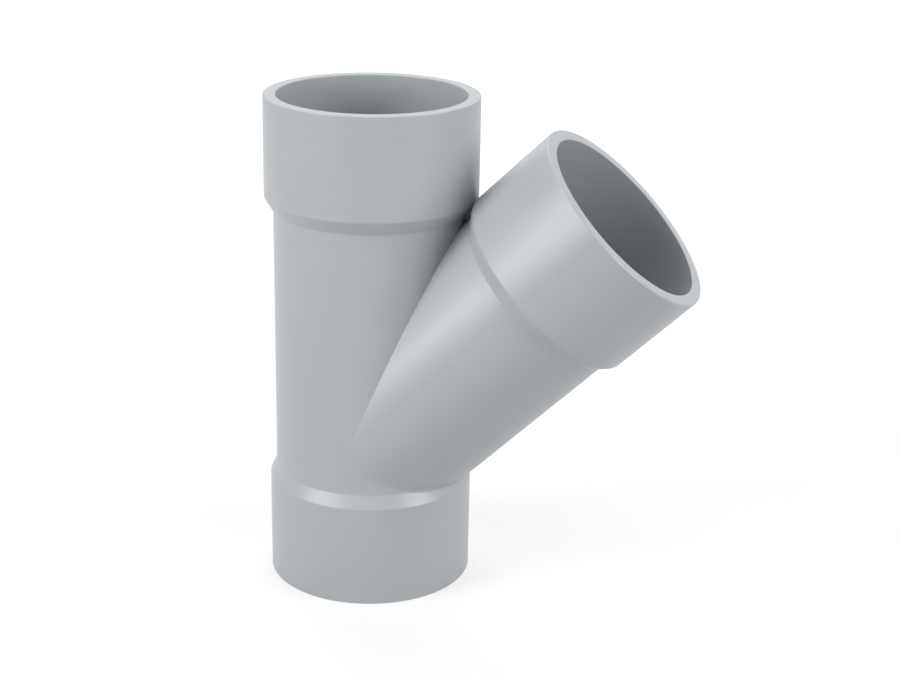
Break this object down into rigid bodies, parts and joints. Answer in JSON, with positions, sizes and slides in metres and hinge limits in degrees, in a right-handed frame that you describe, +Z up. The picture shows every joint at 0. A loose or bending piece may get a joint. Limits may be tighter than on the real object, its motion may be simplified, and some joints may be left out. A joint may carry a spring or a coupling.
{
  "type": "lateral wye fitting",
  "caption": "Moulded plastic pipe fitting whose branch leaves a straight run at 45 degrees, with a plain socket for solvent-welded pipe at each end.",
  "frame": {"origin": "on the run's axis, in the plane of the base socket's rim", "axes": "+Z up along the run's axis, from the base socket to the upper socket; +X to the side that the branch leans to, so the branch's axis lies in the XZ plane at 45 degrees to both"},
  "size_m": [0.1168, 0.057, 0.1342],
  "materials": {
    "moulded_plastic": "light bluish grey, smooth and satin as it comes from the mould"
  },
  "bodies": {
    "root": {"wye_fitting": "moulded_plastic"}
  },
  "joints": []
}
